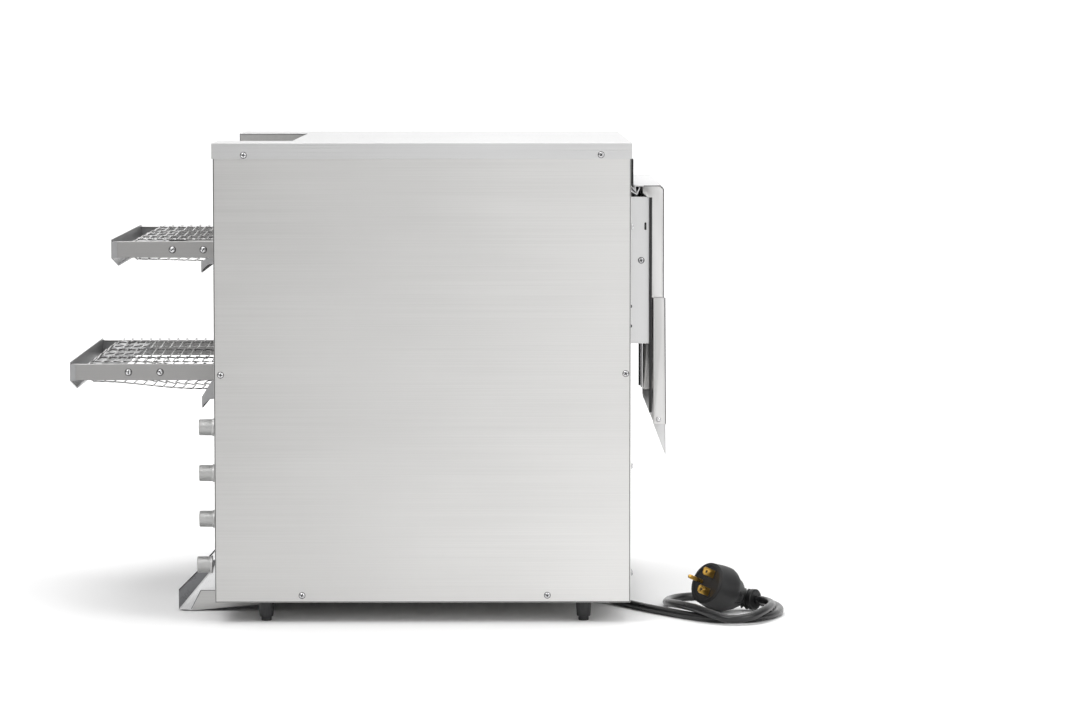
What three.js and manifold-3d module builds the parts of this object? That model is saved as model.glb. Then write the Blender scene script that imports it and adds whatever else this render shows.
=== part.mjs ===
// Double-deck countertop conveyor oven, in millimetres.
// +Z is up, -X is the loading end, +X is the hood end, -Y is the control side.
// The origin is on the counter, under the middle of the machine.

import * as THREE from 'three';
import { mergeVertices } from 'three/addons/utils/BufferGeometryUtils.js';
import Module from 'manifold-3d';

const wasm = await Module();
wasm.setup();

// ---------------------------------------------------------------- driving dimensions

const SHEET = 1.5;                 // casing sheet
const THIN = 1.2;                  // liner and hood sheet
const GAP = 0.3;                   // between pieces that touch
const NEST = 0.1;                  // how far a joined piece stops short of its neighbour's face
const GRID = 1 / 512;              // corners are rounded to this
const SLIVER = 0.02;               // faces thinner than this are merged away

const FRONT = -182;                // front of the two side compartments
const REAR = 320;                  // back of the casing
const HALF_WIDTH = 325;            // over the top cover's skirts
const CASE_HALF = 323.4;           // over the side panels
const CASE_BOTTOM = 26;
const CASE_TOP = 581;
const SKIRT = 19;                  // height of the top cover's skirt
const RECESS_FRONT = -92;          // centre front panel, set back between the compartments
const INNER_HALF = 214;            // inner walls, which face the belts
const FLOOR_Z = 28;                // base pan

const RAIL_HALF = 209;             // outside of the conveyor side rails
const RAIL_HEIGHT = 20;
const RAIL_FLANGE = 7.5;
const RAIL_REAR = 304;
const BELT_HALF = 200;
const BELT_RADIUS = 13;            // outside of the belt on its rollers
const BELT_THICK = 1.6;
const ROLLER_RADIUS = 10;
const DRIVE_X = 288;
const SHAFT_RADIUS = 5;
const STUB_RADIUS = 4;

const DECKS = [
  { name: 'upper', z: 447.5, tip: -315, noseX: -282, plateEnd: -256, troughRear: -293, guideZ: 431.2 },
  { name: 'lower', z: 296.5, tip: -367, noseX: -337, plateEnd: -301, troughRear: -350, guideZ: 264.5 },
];

const GUIDE_DROP = 12;                           // how far a belt guide's lip hangs
const TUNNEL = { below: 39, above: 56 };         // belt opening, from the roller axis
const HEATERS = [
  { name: 'upper_top_heater', z: 494 },
  { name: 'upper_bottom_heater', z: 418 },
  { name: 'lower_top_heater', z: 343 },
  { name: 'lower_bottom_heater', z: 267 },
];
const HEATER_RADIUS = 4;
const HEATER_PITCH = 90;
const HEATER_START_X = -50;
const HEATER_TURN_Y = 150;
const HEATER_END_Y = -236;

const TRAY = { half: 205, bottom: 192, height: 18, front: -96, rear: 296 };

const KNOB_Y = -269.5;
const KNOB_Z = [234, 178, 122, 66];
const KNOB_NAMES = ['upper_heat', 'lower_heat', 'upper_speed', 'lower_speed'];
const KNOB_PULLED = [0, 0, 0, 3];                // the lowest knob sits a little proud
const KNOB_RADIUS = 10;
const KNOB_LENGTH = 16.5;
const KNOB_FLANGE = 3.5;
const KNOB_SHAFT = 3;

const FEET = [
  { name: 'front_near', x: -122, y: -290 },
  { name: 'rear_near', x: 264, y: -290 },
  { name: 'front_far', x: -122, y: 290 },
  { name: 'rear_far', x: 264, y: 290 },
];
const FOOT_TOP_RADIUS = 10;
const FOOT_LOW_RADIUS = 8;
const FOOT_STEP_Z = 5.3;
const FOOT_PAD_RADIUS = 6.25;
const FOOT_STEM_RADIUS = 4;

const HOOD = { half: 207, top: 526, split: 388, flange: 40, rearUpper: 363.8, rearLower: 367, front: 348.2 };
const HOOD_BOTTOM = 194.5;
const HOOD_SIDE_BOTTOM = 231;

const POCKET = { x0: 245, x1: 308, y0: -132, y1: 10, top: 62 };
const GLAND = { x: 272, z: 43 };
const CORD_DIAMETER = 10;
const RELIEF_LENGTH = 36;

const PLUG_FACE = [416, -243, 39];               // centre of the plug's face
const PLUG_YAW = 50;                             // degrees from -Y towards -X
const PLUG_PITCH = 22;                           // degrees upwards
const PLUG_LENGTH = 56;                          // the moulded body, without its neck
const NECK_LENGTH = 26;
const NECK_TURNS = 8;
const NECK_STEP = NECK_LENGTH / (NECK_TURNS + 1);
const NECK_OUT = [0.78, -0.62, 0.03];            // the way the cord leaves the neck

// ---------------------------------------------------------------- finishes

function finish(color, roughness, metalness) {
  return new THREE.MeshStandardMaterial({ color, roughness, metalness });
}

const FINISH = {
  casing: finish(0xc4c5c6, 0.34, 1.0),
  liner: finish(0x8f9092, 0.4, 1.0),
  rail: finish(0x9c9b99, 0.36, 1.0),
  nose: finish(0x6c6b69, 0.42, 1.0),
  hood: finish(0xdadbdc, 0.3, 1.0),
  belt: finish(0xb4b0a8, 0.3, 1.0),
  shaft: finish(0x8a8884, 0.3, 1.0),
  heater: finish(0x3f3a37, 0.6, 0.6),
  motor: finish(0x2b2c2e, 0.55, 0.4),
  control: finish(0x1c1c1e, 0.6, 0.0),
  knob: finish(0xbababa, 0.32, 1.0),
  plastic: finish(0x17181a, 0.5, 0.0),
  cord: finish(0x141416, 0.55, 0.0),
  brass: finish(0xc79a3e, 0.28, 1.0),
};

// ---------------------------------------------------------------- solids

// Gives a closed geometry as a manifold solid. Corners sit on a fine grid, so that faces which
// share a plane share it exactly.
function solid(geometry) {
  const bare = geometry.clone();
  bare.deleteAttribute('normal');
  bare.deleteAttribute('uv');
  const merged = mergeVertices(bare, 1e-4);
  return new wasm.Manifold(new wasm.Mesh({
    numProp: 3,
    vertProperties: Float32Array.from(merged.attributes.position.array, (v) => Math.round(v / GRID) * GRID),
    triVerts: new Uint32Array(merged.index.array),
  }));
}

function geometryOf(manifold) {
  const mesh = manifold.asOriginal().simplify(SLIVER).getMesh();
  const geometry = new THREE.BufferGeometry();
  geometry.setAttribute('position', new THREE.BufferAttribute(new Float32Array(mesh.vertProperties), 3));
  geometry.setIndex(new THREE.BufferAttribute(new Uint32Array(mesh.triVerts), 1));
  geometry.computeVertexNormals();
  return geometry;
}

function join(pieces) {
  return pieces.reduce((whole, piece) => whole.add(piece));
}

function cut(body, tools) {
  return tools.reduce((left, tool) => left.subtract(tool), body);
}

// A box from its lowest to its highest corner.
function block(x0, y0, z0, x1, y1, z1) {
  const geometry = new THREE.BoxGeometry(x1 - x0, y1 - y0, z1 - z0);
  geometry.translate((x0 + x1) / 2, (y0 + y1) / 2, (z0 + z1) / 2);
  return solid(geometry);
}

// A straight rod from one X, Y or Z place to another.
function rod(axis, from, to, a, b, radius, sides = 16) {
  const geometry = new THREE.CylinderGeometry(radius, radius, to - from, sides);
  const middle = (from + to) / 2;
  if (axis === 'x') {
    geometry.rotateZ(-Math.PI / 2);
    geometry.translate(middle, a, b);
  } else if (axis === 'y') {
    geometry.translate(a, middle, b);
  } else {
    geometry.rotateX(Math.PI / 2);
    geometry.translate(a, b, middle);
  }
  return solid(geometry);
}

// A flat outline in X and Z, drawn out from y0 to y1.
function prism(points, y0, y1) {
  const shape = new THREE.Shape(points.map(([x, z]) => new THREE.Vector2(x, z)));
  const geometry = new THREE.ExtrudeGeometry(shape, { depth: y1 - y0, bevelEnabled: false });
  geometry.rotateX(Math.PI / 2);
  geometry.translate(0, y1, 0);
  return solid(geometry);
}

// An outline in Y and Z, drawn out from x0 to x1.
function sectionAlongX(points, x0, x1) {
  const shape = new THREE.Shape(points.map(([y, z]) => new THREE.Vector2(y, z)));
  const geometry = new THREE.ExtrudeGeometry(shape, { depth: x1 - x0, bevelEnabled: false });
  geometry.rotateX(Math.PI / 2);
  geometry.rotateZ(Math.PI / 2);
  geometry.translate(x0, 0, 0);
  return solid(geometry);
}

// An outline in X and Y, drawn out from z0 to z1.
function sectionAlongZ(points, z0, z1) {
  const shape = new THREE.Shape(points.map(([x, y]) => new THREE.Vector2(x, y)));
  const geometry = new THREE.ExtrudeGeometry(shape, { depth: z1 - z0, bevelEnabled: false });
  geometry.translate(0, 0, z0);
  return solid(geometry);
}

// A folded sheet: the open line of its fold, thickened to the left, drawn out from y0 to y1.
function foldedSheet(line, thickness, y0, y1) {
  const points = line.map(([x, z]) => new THREE.Vector2(x, z));
  const inner = points.map((point, i) => {
    const before = points[Math.max(i - 1, 0)];
    const after = points[Math.min(i + 1, points.length - 1)];
    const back = point.clone().sub(before).normalize();
    const ahead = after.clone().sub(point).normalize();
    const into = i === 0 ? ahead : back;
    const out = i === points.length - 1 ? back : ahead;
    const bisector = into.clone().add(out).normalize();
    const normal = new THREE.Vector2(-bisector.y, bisector.x);
    const stretch = 1 / Math.max(0.35, normal.dot(new THREE.Vector2(-into.y, into.x)));
    return point.clone().addScaledVector(normal, thickness * stretch);
  });
  const outline = [...points, ...inner.reverse()].map((point) => [point.x, point.y]);
  return prism(outline, y0, y1);
}

// A turned piece: outline of [radius, height] pairs, which starts and ends on the axis.
function turned(outline, sides) {
  const points = outline.map(([radius, height]) => new THREE.Vector2(radius, height));
  return new THREE.LatheGeometry(points, sides);
}

// A round bar of a few sides along a smooth curve through points.
function tube(points, radius, sides, steps) {
  const corners = Array.from({ length: sides }, (_, k) => {
    const angle = 2 * Math.PI * (k + 0.5) / sides;
    return new THREE.Vector2(radius * Math.cos(angle), radius * Math.sin(angle));
  });
  const path = new THREE.CatmullRomCurve3(points, false, 'centripetal');
  return new THREE.ExtrudeGeometry(new THREE.Shape(corners), { steps, extrudePath: path });
}

const oven = new THREE.Group();

function add(name, body, material) {
  const geometry = body instanceof THREE.BufferGeometry ? body : geometryOf(body);
  const mesh = new THREE.Mesh(geometry, material);
  mesh.name = name;
  oven.add(mesh);
  return mesh;
}

const mirrored = (y0, y1) => [[y0, y1], [-y1, -y0]];

// ---------------------------------------------------------------- casing

const PAN_FRONT = FRONT + SHEET + GAP;
const PAN_REAR = REAR - SHEET - GAP;
const PAN_HALF = CASE_HALF - SHEET - GAP;
const UPSTAND = 14;

function basePan() {
  const [outer, inner] = [PAN_HALF, PAN_HALF - SHEET];
  const [low, high] = [FLOOR_Z, FLOOR_Z + UPSTAND];
  const pan = sectionAlongX([[-outer, high], [-outer, low], [outer, low], [outer, high], [inner, high],
    [inner, low + SHEET], [-inner, low + SHEET], [-inner, high]], PAN_FRONT, PAN_REAR);
  const notch = block(PAN_FRONT - 1, -INNER_HALF - SHEET - GAP, 0, RECESS_FRONT - GAP,
    INNER_HALF + SHEET + GAP, 90);
  const { x0, x1, y0, y1, top } = POCKET;
  const pocket = block(x0 - SHEET, y0 - SHEET, FLOOR_Z + NEST, x1 + SHEET, y1 + SHEET, top + SHEET);
  const hollow = block(x0, y0, FLOOR_Z - 1, x1, y1, top);
  const glandHole = rod('y', y1 - 1, y1 + SHEET + 1, GLAND.x, GLAND.z, 8 + GAP);
  const holes = FEET.map((foot) => rod('z', 0, 60, foot.x, foot.y, FOOT_STEM_RADIUS + 0.6, 12));
  return cut(pan.add(pocket), [notch, hollow, glandHole, ...holes]);
}

function sidePanel(side) {
  const [outer, inner] = [side * CASE_HALF, side * (CASE_HALF - SHEET)];
  const high = CASE_TOP - 8;
  if (side < 0) {
    const lip = outer + 12;
    return sectionAlongX([[outer, high], [outer, CASE_BOTTOM], [lip, CASE_BOTTOM], [lip, CASE_BOTTOM + SHEET],
      [inner, CASE_BOTTOM + SHEET], [inner, high]], FRONT, REAR);
  }
  const edge = INNER_HALF + SHEET + GAP;
  return sectionAlongZ([[REAR, outer], [FRONT, outer], [FRONT, edge], [FRONT + SHEET, edge],
    [FRONT + SHEET, inner], [REAR, inner]], CASE_BOTTOM, high);
}

function topCover() {
  const x0 = FRONT - SHEET;
  const x1 = REAR + SHEET;
  const low = CASE_TOP - SKIRT;
  const notchHalf = INNER_HALF - 1;
  const skirt = HALF_WIDTH - CASE_HALF - GAP;
  const outside = block(x0, -HALF_WIDTH, low, x1, HALF_WIDTH, CASE_TOP);
  const inside = block(x0 + THIN, -HALF_WIDTH + skirt, low - 1, x1 - THIN, HALF_WIDTH - skirt, CASE_TOP - SHEET);
  const notch = block(x0 - 1, -notchHalf, low - 2, RECESS_FRONT - GAP, notchHalf, CASE_TOP + 1);
  return cut(outside, [inside, notch]);
}

function beltOpening(deck, x0, x1) {
  const half = RAIL_HALF + 1.5;
  return block(x0, -half, deck.z - TUNNEL.below, x1, half, deck.z + TUNNEL.above);
}

function centreFrontPanel() {
  const half = INNER_HALF - GAP;
  const plate = block(RECESS_FRONT, -half, FLOOR_Z + SHEET + GAP, RECESS_FRONT + SHEET, half,
    CASE_TOP - SHEET - GAP);
  const openings = DECKS.map((deck) => beltOpening(deck, RECESS_FRONT - 1, RECESS_FRONT + SHEET + 1));
  const slot = block(RECESS_FRONT - 1, -TRAY.half - 1.5, TRAY.bottom - GAP, RECESS_FRONT + 3, TRAY.half + 1.5,
    TRAY.bottom + TRAY.height + 3);
  return cut(plate, [...openings, slot]);
}

function controlPanel() {
  const plate = block(FRONT, -PAN_HALF, CASE_BOTTOM + SHEET + GAP, FRONT + SHEET, -INNER_HALF - SHEET - GAP,
    CASE_TOP - SHEET - GAP);
  const holes = KNOB_Z.map((z) => rod('x', FRONT - 1, FRONT + 3, KNOB_Y, z, KNOB_SHAFT + 0.6, 12));
  return cut(plate, holes);
}

function rearPanel() {
  const plate = block(REAR - SHEET, -PAN_HALF, CASE_BOTTOM + SHEET + GAP, REAR, PAN_HALF, CASE_TOP - SHEET - GAP);
  const openings = DECKS.map((deck) => beltOpening(deck, REAR - 3, REAR + 1));
  const louvres = mirrored(240, 300).flatMap(([y0, y1]) => (
    [0, 1, 2, 3, 4, 5].map((row) => block(REAR - 3, y0, 90 + 16 * row, REAR + 1, y1, 95 + 16 * row))));
  return cut(plate, [...openings, ...louvres]);
}

function innerWall(side) {
  const [y0, y1] = side < 0 ? [-INNER_HALF - SHEET, -INNER_HALF] : [INNER_HALF, INNER_HALF + SHEET];
  const high = CASE_TOP - SHEET - GAP;
  const low = FLOOR_Z + SHEET + GAP;
  const whole = block(FRONT, y0, low, PAN_REAR - SHEET - GAP, y1, high);
  if (side > 0) {
    return cut(whole, DECKS.map((deck) => rod('y', y0 - 1, y1 + 1, DRIVE_X, deck.z, SHAFT_RADIUS + 0.8)));
  }
  const legs = [0, 3].map((leg) => HEATER_START_X + leg * HEATER_PITCH);
  const holes = HEATERS.flatMap((heater) => (
    legs.map((x) => rod('y', y0 - 1, y1 + 1, x, heater.z, HEATER_RADIUS + 0.6, 12))));
  return cut(whole, holes);
}

// ---------------------------------------------------------------- chamber

const LINER_FRONT = RECESS_FRONT + SHEET + GAP;
const LINER_REAR = REAR - SHEET - 1;
const LINER_HALF = INNER_HALF - GAP;

function ceiling() {
  const z = 531;
  return foldedSheet([[LINER_REAR, z - 12], [LINER_REAR, z], [LINER_FRONT, z], [LINER_FRONT, z - 12]],
    THIN, -LINER_HALF, LINER_HALF);
}

function divider() {
  return foldedSheet([[LINER_REAR, 368], [LINER_FRONT, 368], [LINER_FRONT, 399], [LINER_REAR, 399]],
    -THIN, -LINER_HALF, LINER_HALF);
}

function chamberFloor() {
  const z = TRAY.bottom - THIN - 0.6;
  return foldedSheet([[LINER_FRONT, z - 12], [LINER_FRONT, z], [LINER_REAR, z], [LINER_REAR, z - 12]],
    -THIN, -LINER_HALF, LINER_HALF);
}

function heater(z) {
  const radius = HEATER_PITCH / 2;
  const points = [];
  const legs = [
    [HEATER_END_Y, HEATER_TURN_Y],
    [HEATER_TURN_Y, -HEATER_TURN_Y],
    [-HEATER_TURN_Y, HEATER_TURN_Y],
    [HEATER_TURN_Y, HEATER_END_Y],
  ];
  legs.forEach(([from, to], leg) => {
    const x = HEATER_START_X + leg * HEATER_PITCH;
    points.push(new THREE.Vector3(x, from, z), new THREE.Vector3(x, to, z));
    if (leg === legs.length - 1) {
      return;
    }
    const way = Math.sign(to - from);
    for (let step = 1; step < 6; step += 1) {
      const angle = Math.PI * step / 6;
      const turnX = x + radius * (1 - Math.cos(angle));
      points.push(new THREE.Vector3(turnX, to + way * radius * Math.sin(angle), z));
    }
  });
  return tube(points, HEATER_RADIUS, 6, 48);
}

function crumbTray() {
  const { half, bottom, height, front, rear } = TRAY;
  const shell = block(RECESS_FRONT + SHEET + 2, -half, bottom, rear, half, bottom + height);
  const hollow = block(RECESS_FRONT + SHEET + 2 + THIN, -half + THIN, bottom + THIN, rear - THIN, half - THIN,
    bottom + height + 1);
  const neck = block(front + NEST, -half + 5, bottom + 3, RECESS_FRONT + SHEET + 2 + NEST, half - 5, bottom + 5);
  const pull = foldedSheet([[front - 12, bottom - 6], [front, bottom + 2], [front, bottom + height + 6]],
    -SHEET, -half + 4, half - 4);
  return join([cut(shell, [hollow]), neck, pull]);
}

// ---------------------------------------------------------------- conveyors

function rail(deck, side) {
  const outer = side * RAIL_HALF;
  const inner = side * (RAIL_HALF - SHEET);
  const tip = side * (RAIL_HALF - RAIL_FLANGE);
  const [low, high] = [deck.z - RAIL_HEIGHT / 2, deck.z + RAIL_HEIGHT / 2];
  const profile = [[outer, low], [outer, high], [tip, high], [tip, high - THIN], [inner, high - THIN],
    [inner, low + THIN], [tip, low + THIN], [tip, low]];
  const channel = sectionAlongX(side < 0 ? profile : profile.reverse(), deck.tip + THIN + GAP + 1, RAIL_REAR);
  const [h0, h1] = side > 0 ? [inner - 2, outer + 2] : [outer - 2, inner + 2];
  return cut(channel, [
    rod('y', h0, h1, DRIVE_X, deck.z, SHAFT_RADIUS + 0.8),
  ]);
}

function nosePan(deck) {
  const [low, high] = [deck.z - RAIL_HEIGHT / 2, deck.z + RAIL_HEIGHT / 2];
  const inside = RAIL_HALF + GAP;
  const outside = inside + THIN;
  const wall = foldedSheet([
    [deck.troughRear, low - 1],
    [deck.tip + 9, low - 10],
    [deck.tip, low - 0.5],
    [deck.tip, high + 2.5],
  ], -THIN, -outside + NEST, outside - NEST);
  const cheekHigh = high - THIN - 1;
  const cheekLow = low + THIN + 1;
  const cheeks = mirrored(203.5, 205).map(([y0, y1]) => (
    block(deck.tip + 0.5, y0, cheekLow, deck.plateEnd, y1, cheekHigh)));
  const plate = block(deck.noseX + ROLLER_RADIUS + 1.5, -204.4, cheekHigh - THIN, deck.plateEnd - NEST, 204.4,
    cheekHigh - NEST);
  const returns = mirrored(inside, outside).map(([y0, y1]) => (
    block(deck.tip + NEST, y0, low, deck.tip + 7, y1, high)));
  const stub = rod('y', -206, 206, deck.noseX, deck.z, STUB_RADIUS + 1);
  return cut(join([wall, ...cheeks, plate, ...returns]), [stub]);
}

function loopOutline(deck, radius) {
  const shape = new THREE.Shape();
  shape.absarc(deck.noseX, deck.z, radius, Math.PI / 2, Math.PI * 1.5, false);
  shape.absarc(DRIVE_X, deck.z, radius, -Math.PI / 2, Math.PI / 2, false);
  return shape;
}

function belt(deck) {
  const outline = (radius, half) => {
    const geometry = new THREE.ExtrudeGeometry(loopOutline(deck, radius), {
      depth: 2 * half, bevelEnabled: false, curveSegments: 8,
    });
    geometry.rotateX(Math.PI / 2);
    geometry.translate(0, half, 0);
    return solid(geometry);
  };
  return outline(BELT_RADIUS, BELT_HALF).subtract(outline(BELT_RADIUS - BELT_THICK, BELT_HALF + 1));
}

function idler(deck) {
  const drum = rod('y', -198, 198, deck.noseX, deck.z, ROLLER_RADIUS, 20);
  return drum.add(rod('y', -206.5, 206.5, deck.noseX, deck.z, STUB_RADIUS, 12));
}

function driveShaft(deck) {
  const bar = rod('y', -RAIL_HALF - 2, 236, DRIVE_X, deck.z, SHAFT_RADIUS, 12);
  const sprockets = [-165, -55, 55, 165].map((y) => (
    rod('y', y - 4, y + 4, DRIVE_X, deck.z, ROLLER_RADIUS, 12)));
  return join([bar, ...sprockets]);
}

function gearMotor(deck) {
  const box = block(DRIVE_X - 25, 236 + GAP, deck.z - 25, DRIVE_X + 25, 268, deck.z + 25);
  return box.add(rod('y', 267, 316, DRIVE_X - 2, deck.z, 22, 20));
}

function beltGuide(deck) {
  const front = -205;
  const rear = RECESS_FRONT - 1;
  const z = deck.guideZ;
  const half = 206;
  const low = deck.z - RAIL_HEIGHT / 2 - GAP;
  const rise = Math.min(12, low - z);
  const sheet = foldedSheet([[front, z - GUIDE_DROP], [front, z], [rear, z]], -SHEET, -half + NEST, half - NEST);
  const side = [[front - NEST, z - GUIDE_DROP + 2], [front + 11, z - NEST], [rear - NEST, z - NEST],
    [rear - NEST, low], [front + rise + 4, low], [front + rise, low - 1], [front - NEST, z + SHEET]];
  const cheeks = mirrored(half - THIN, half).map(([y0, y1]) => prism(side, y0, y1));
  return join([sheet, ...cheeks]);
}

// ---------------------------------------------------------------- controls

function knob(z, pulled) {
  const face = FRONT - 22 - pulled;
  const seat = face + KNOB_LENGTH;
  const back = seat + KNOB_FLANGE;
  const outline = [
    [0, 0], [KNOB_RADIUS - 1, 0], [KNOB_RADIUS, 0.8], [KNOB_RADIUS, KNOB_LENGTH],
    [KNOB_RADIUS + 1.2, KNOB_LENGTH + 0.6], [KNOB_RADIUS + 1.2, KNOB_LENGTH + KNOB_FLANGE],
    [KNOB_SHAFT, KNOB_LENGTH + KNOB_FLANGE], [KNOB_SHAFT, KNOB_LENGTH + KNOB_FLANGE + (FRONT + 3.6 - back)],
    [0, KNOB_LENGTH + KNOB_FLANGE + (FRONT + 3.6 - back)],
  ];
  const geometry = turned(outline, 20);
  geometry.rotateZ(-Math.PI / 2);
  geometry.translate(face, KNOB_Y, z);
  return geometry;
}

function controlBody(z) {
  return block(FRONT + 4, KNOB_Y - 17, z - 19, FRONT + 34, KNOB_Y + 17, z + 19);
}

// ---------------------------------------------------------------- front apron

function apron() {
  const slope = 1.2;
  const toe = -235;
  const top = RECESS_FRONT - 1;
  const half = 207;
  const ramp = (x) => 2 + (x - toe) * slope;
  const floor = foldedSheet([[toe + 1, ramp(toe + 1)], [top - 2, ramp(top - 2)]], SHEET, -half + NEST, half - NEST);
  const under = [[toe, 2], [-217, 1], [-100, 11], [top, 11], [top, ramp(top)], [-183, ramp(-183) + 3]];
  const near = prism([...under, [-205, 57], [toe, 27]], -half, -half + THIN);
  const far = prism([...under, [toe + 1, 9]], half - THIN, half);
  return join([floor, near, far]);
}

// ---------------------------------------------------------------- rear hood

function hoodGutter() {
  return foldedSheet([[REAR + GAP, 532], [REAR + GAP, 520.5], [331, 514.2], [335, 523]], THIN, -202, 202);
}

function hoodInnerFrame() {
  const x0 = REAR + GAP;
  const [low, high] = [331, 512];
  const profile = [[x0, 188], [x0, 200], [346, 200], [346, 192], [345, 192], [345, 198.8], [x0 + THIN, 198.8],
    [x0 + THIN, 188]];
  const near = sectionAlongZ(profile.map(([x, y]) => [x, -y]), low, high);
  const far = sectionAlongZ([...profile].reverse(), low, high);
  const bridge = block(x0 + NEST, -199, 362, x0 + THIN - NEST, 199, 398);
  return join([near, far, bridge]);
}

function hoodUpper() {
  const { half, top, split, flange, rearUpper, front } = HOOD;
  const low = split - 14;
  const roof = foldedSheet([[328, 519.2], [328, top], [rearUpper, top], [rearUpper, low]], -THIN, -half, half);
  const corner = rearUpper - THIN / 2;
  const profile = [[corner, half - NEST], [front, half - NEST], [front, half - flange],
    [front + THIN, half - flange], [front + THIN, half - THIN], [corner, half - THIN]];
  const near = sectionAlongZ(profile.map(([x, y]) => [x, -y]).reverse(), low + NEST, top - 14);
  const far = sectionAlongZ(profile, low + NEST, top - 14);
  const gable = [[338, top - 8], [344, top - 14.5], [corner, top - 14.5], [corner, top - NEST], [338, top - NEST]];
  const gables = mirrored(half - THIN + NEST / 2, half - NEST / 2).map(([y0, y1]) => prism(gable, y0, y1));
  return join([roof, near, far, ...gables]);
}

function hoodLower() {
  const { half, split, flange, rearUpper, rearLower, front } = HOOD;
  const outer = half + GAP + THIN;
  const seam = rearUpper + GAP;
  const back = prism([[seam, split], [rearLower - THIN, HOOD_BOTTOM], [rearLower, HOOD_BOTTOM],
    [seam + THIN, split]], -outer, outer);
  const side = [[front + 3, split - NEST], [front + 3, HOOD_SIDE_BOTTOM], [rearLower - 0.6, HOOD_BOTTOM + NEST],
    [seam + 0.6, split - NEST]];
  const walls = mirrored(outer - THIN, outer - NEST).map(([y0, y1]) => prism(side, y0, y1));
  const profile = [[front + 5, outer - 2 * NEST], [front, outer - 2 * NEST], [front, half - flange],
    [front + THIN, half - flange], [front + THIN, outer - THIN + NEST], [front + 5, outer - THIN + NEST]];
  const webTop = split - 14 - GAP;
  const near = sectionAlongZ(profile.map(([x, y]) => [x, -y]).reverse(), 246, webTop);
  const far = sectionAlongZ(profile, 246, webTop);
  return join([back, ...walls, near, far]);
}

// ---------------------------------------------------------------- feet

function footBody({ x, y }) {
  const high = FLOOR_Z - GAP;
  const cone = turned([[0, FOOT_STEP_Z], [FOOT_LOW_RADIUS, FOOT_STEP_Z], [FOOT_LOW_RADIUS + 0.4, FOOT_STEP_Z + 1],
    [FOOT_TOP_RADIUS - 0.4, high - 4], [FOOT_TOP_RADIUS, high], [0, high]], 16);
  cone.rotateX(Math.PI / 2);
  cone.translate(x, y, 0);
  return cut(solid(cone), [rod('z', 0, 60, x, y, FOOT_STEM_RADIUS + 0.5, 12)]);
}

function footPad({ x, y }) {
  const pad = turned([[0, 0], [FOOT_PAD_RADIUS - 0.5, 0], [FOOT_PAD_RADIUS, 0.6], [FOOT_PAD_RADIUS, FOOT_STEP_Z - GAP],
    [FOOT_STEM_RADIUS, FOOT_STEP_Z - GAP], [FOOT_STEM_RADIUS, 38], [0, 38]], 16);
  pad.rotateX(Math.PI / 2);
  pad.translate(x, y, 0);
  return pad;
}

// ---------------------------------------------------------------- cord and plug

function gland() {
  const face = POCKET.y1 - GAP;
  const outline = [
    [0, -16], [8, -16], [8, 0], [13, 0], [13, 5], [9, 6], [8.5, 9], [CORD_DIAMETER / 2 + 0.9, RELIEF_LENGTH],
    [0, RELIEF_LENGTH],
  ];
  const geometry = turned(outline, 16);
  geometry.rotateX(Math.PI);
  geometry.translate(GLAND.x, face, GLAND.z);
  return geometry;
}

const PLUG_AXIS = (() => {
  const yaw = THREE.MathUtils.degToRad(PLUG_YAW);
  const pitch = THREE.MathUtils.degToRad(PLUG_PITCH);
  return new THREE.Vector3(-Math.sin(yaw) * Math.cos(pitch), -Math.cos(yaw) * Math.cos(pitch), Math.sin(pitch));
})();

// The bent line of the plug's neck, and the unit direction it ends in.
function plugNeck() {
  const back = PLUG_AXIS.clone().multiplyScalar(-1);
  const out = new THREE.Vector3(...NECK_OUT).normalize();
  const point = new THREE.Vector3(...PLUG_FACE).addScaledVector(back, PLUG_LENGTH - 4);
  const points = [point.clone()];
  for (let step = 0; step <= NECK_TURNS; step += 1) {
    const heading = back.clone().lerp(out, step / NECK_TURNS).normalize();
    point.addScaledVector(heading, NECK_STEP);
    points.push(point.clone());
  }
  point.addScaledVector(out, 4);
  points.push(point.clone());
  return { points, out };
}

const NECK = plugNeck();
const CORD_END = NECK.points.at(-1).clone().addScaledVector(NECK.out, GAP);

const CORD_ROUTE = [
  [GLAND.x, POCKET.y1 - RELIEF_LENGTH - 2 * GAP, GLAND.z],
  [272.3, -46, 42.2], [274, -68, 36.5], [278.5, -92, 25], [286.5, -116, 13.2], [298, -140, 6.6],
  [311, -164, 5.3], [325, -188, 5.3], [344, -220, 5.3], [366, -254, 5.3], [392, -290, 5.3], [423, -317, 5.3],
  [461, -319, 5.3], [489, -293, 5.3], [504, -256, 5.3], [506, -216, 5.3], [497, -178, 5.3], [477, -146, 5.3],
  [448, -122, 5.3], [418, -112, 5.3], [391, -121, 5.3], [376, -144, 5.6], [370, -175, 7], [370, -210, 10.4],
  [375, -243, 13.8], [385, -273, 15.8], [400, -301, 15.6], [419, -325, 11.8], [441, -340, 7.6],
  [464, -335, 9.8], [481, -316, 14.2], [490, -292, 15.8], [494.5, -266, 15.2], [493.2, -236, 14.2],
];

function cordRoute() {
  const points = CORD_ROUTE.map(([x, y, z]) => new THREE.Vector3(x, y, z));
  points.push(CORD_END.clone().addScaledVector(NECK.out, 8), CORD_END.clone());
  return points;
}

function cord() {
  return tube(cordRoute(), CORD_DIAMETER / 2, 8, 68);
}

// Turns a geometry made along +Y so that it lies on the plug's axis, its base on the plug's face.
function onPlug(geometry, along, across = 0, up = 0) {
  const side = new THREE.Vector3(0, 0, 1).cross(PLUG_AXIS).normalize();
  const over = PLUG_AXIS.clone().cross(side);
  const basis = new THREE.Matrix4().makeBasis(side, PLUG_AXIS, over.clone().multiplyScalar(-1));
  const place = new THREE.Vector3(...PLUG_FACE)
    .addScaledVector(PLUG_AXIS, along).addScaledVector(side, across).addScaledVector(over, up);
  basis.setPosition(place);
  geometry.applyMatrix4(basis);
  return geometry;
}

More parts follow.
